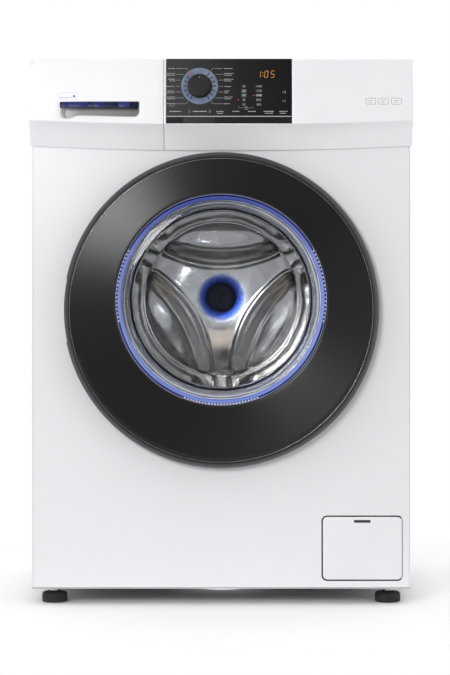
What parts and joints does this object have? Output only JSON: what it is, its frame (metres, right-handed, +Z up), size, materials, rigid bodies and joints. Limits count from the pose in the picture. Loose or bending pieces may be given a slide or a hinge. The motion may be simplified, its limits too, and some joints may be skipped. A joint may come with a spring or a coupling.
{
  "type": "front load washing machine",
  "caption": "Freestanding front-loading washing machine with a large round porthole door, detergent drawer, programme dial with keys, and a belt-driven drum in a sprung tub.",
  "frame": {"origin": "on the floor, under the middle of the machine's box", "axes": "+Z is up, the door faces -Y, +X is to the right as seen from the front"},
  "size_m": [0.595, 0.5, 0.85],
  "materials": {
    "white_enamel": "smooth white enamel",
    "white_plastic": "satin white moulded plastic",
    "worktop_laminate": "fine-grained white laminate",
    "galvanised": "zinc-coated sheet",
    "grey_plastic": "light grey moulded plastic",
    "foot_rubber": "matt black rubber",
    "black_gloss": "piano black gloss",
    "door_black": "satin black moulding",
    "dial_ring": "frosted slate blue light guide",
    "blue_translucent": "translucent periwinkle blue",
    "blue_tint": "deep blue translucent",
    "clear_window": "clear moulded window",
    "glass": "thick clear pressed glass",
    "gasket_rubber": "grey rubber bellows",
    "hose_rubber": "black ribbed rubber",
    "belt_rubber": "ribbed black belt",
    "stainless": "polished stainless steel",
    "tub_plastic": "glass-filled grey polymer",
    "concrete": "cast concrete",
    "cast_aluminium": "as-cast aluminium",
    "bright_steel": "zinc-plated steel",
    "black_plastic": "black moulded plastic",
    "pump_plastic": "white moulded plastic",
    "filter_blue": "blue moulded plastic",
    "circuit_board": "green glass-fibre board"
  },
  "bodies": {
    "cabinet": {"left_side_panel": "white_enamel", "right_side_panel": "white_enamel", "rear_panel": "galvanised", "rear_cover": "galvanised", "front_panel": "white_enamel", "base_pan": "grey_plastic", "levelling_feet": "foot_rubber", "worktop": "worktop_laminate", "top_crossbeams": "galvanised", "control_fascia": "white_plastic", "control_window": "black_gloss", "dial_light_ring": "dial_ring", "control_board": "circuit_board", "dispenser_box": "grey_plastic", "inlet_valve": "pump_plastic", "drain_pump": "pump_plastic", "drain_hose": "hose_rubber", "filter_recess": "grey_plastic", "door_hinge_bracket": "bright_steel", "door_hinge_pin": "bright_steel", "door_lock": "black_plastic", "mains_inlet": "black_plastic", "damper_cylinders": "black_plastic"},
    "door": {"door_outer_ring": "door_black", "door_inner_frame": "grey_plastic", "door_light_ring": "blue_translucent", "door_window": "clear_window", "door_glass": "glass"},
    "latch": {"door_latch_hook": "black_plastic"},
    "drawer": {"drawer_front": "white_plastic", "drawer_grip": "blue_tint", "detergent_tray": "grey_plastic"},
    "dial": {"programme_knob": "black_gloss"},
    "power_key": {"power_key": "black_gloss"},
    "start_key": {"start_key": "black_gloss"},
    "temperature_key": {"temperature_key": "black_gloss"},
    "spin_speed_key": {"spin_speed_key": "black_gloss"},
    "delay_key": {"delay_key": "black_gloss"},
    "extra_rinse_key": {"extra_rinse_key": "black_gloss"},
    "flap": {"filter_flap": "white_enamel"},
    "filter": {"pump_filter": "filter_blue"},
    "impeller": {"pump_impeller": "black_plastic"},
    "tub": {"tub_front": "tub_plastic", "tub_rear": "tub_plastic", "door_gasket": "gasket_rubber", "heater": "bright_steel", "counterweights": "concrete", "drum_bearings": "bright_steel", "drive_motor": "cast_aluminium", "drive_belt": "belt_rubber", "suspension_springs": "bright_steel", "damper_rods": "bright_steel", "dispenser_hose": "hose_rubber", "sump_hose": "hose_rubber"},
    "rotor": {"motor_rotor": "bright_steel"},
    "drum": {"drum_shell": "stainless", "drum_back": "stainless", "drum_lifters": "stainless", "drum_spider": "cast_aluminium", "drum_pulley": "cast_aluminium"}
  },
  "joints": [
    {"name": "door_hinge", "type": "hinge", "parent": "cabinet", "child": "door", "pos_m": [-0.229, -0.235, 0.4593], "axis": [0, 0, -1], "range_deg": [0, 120]},
    {"name": "latch_pivot", "type": "hinge", "parent": "door", "child": "latch", "pos_m": [0.208, -0.236, 0.4593], "axis": [0, 0, 1], "range_deg": [0, 7], "stiffness_Nm_per_rad": 0.4, "springref_deg": -5.73},
    {"name": "drawer_slide", "type": "slide", "parent": "cabinet", "child": "drawer", "axis": [0, -1, 0], "range_m": [0, 0.2]},
    {"name": "programme_dial", "type": "hinge", "parent": "cabinet", "child": "dial", "pos_m": [-0.0333, -0.2376, 0.8066], "axis": [0, -0.9931, 0.1171], "continuous": true},
    {"name": "power_key_press", "type": "slide", "parent": "cabinet", "child": "power_key", "axis": [0, 1, 0], "range_m": [0, 0.0012], "stiffness_N_per_m": 1200, "springref_m": -0.0004},
    {"name": "start_key_press", "type": "slide", "parent": "cabinet", "child": "start_key", "axis": [0, 1, 0], "range_m": [0, 0.0012], "stiffness_N_per_m": 1200, "springref_m": -0.0004},
    {"name": "temperature_key_press", "type": "slide", "parent": "cabinet", "child": "temperature_key", "axis": [0, 1, 0], "range_m": [0, 0.0012], "stiffness_N_per_m": 1200, "springref_m": -0.0004},
    {"name": "spin_speed_key_press", "type": "slide", "parent": "cabinet", "child": "spin_speed_key", "axis": [0, 1, 0], "range_m": [0, 0.0012], "stiffness_N_per_m": 1200, "springref_m": -0.0004},
    {"name": "delay_key_press", "type": "slide", "parent": "cabinet", "child": "delay_key", "axis": [0, 1, 0], "range_m": [0, 0.0012], "stiffness_N_per_m": 1200, "springref_m": -0.0004},
    {"name": "extra_rinse_key_press", "type": "slide", "parent": "cabinet", "child": "extra_rinse_key", "axis": [0, 1, 0], "range_m": [0, 0.0012], "stiffness_N_per_m": 1200, "springref_m": -0.0004},
    {"name": "flap_hinge", "type": "hinge", "parent": "cabinet", "child": "flap", "pos_m": [0.22025, -0.213, 0.0396], "axis": [1, 0, 0], "range_deg": [0, 95]},
    {"name": "filter_turn", "type": "hinge", "parent": "cabinet", "child": "filter", "pos_m": [0.22, -0.2, 0.088], "axis": [0, -1, 0], "range_deg": [0, 200]},
    {"name": "impeller_spin", "type": "hinge", "parent": "cabinet", "child": "impeller", "pos_m": [0.22, -0.1, 0.088], "axis": [0, 1, 0], "continuous": true},
    {"name": "tub_float", "type": "slide", "parent": "cabinet", "child": "tub", "axis": [0, 0, 1], "range_m": [-0.006, 0.006], "stiffness_N_per_m": 22000, "springref_m": 0.0132, "deforming": ["suspension_springs", "dispenser_hose", "sump_hose", "door_gasket"]},
    {"name": "drum_spin", "type": "hinge", "parent": "tub", "child": "drum", "pos_m": [0, 0.15, 0.4756], "axis": [0, 1, 0], "continuous": true},
    {"name": "motor_spin", "type": "hinge", "parent": "tub", "child": "rotor", "pos_m": [-0.03, 0.18, 0.133], "axis": [0, 1, 0], "continuous": true}
  ],
  "couplings": [
    {"joint": "motor_spin", "follows": "drum_spin", "ratio": 10.833}
  ]
}
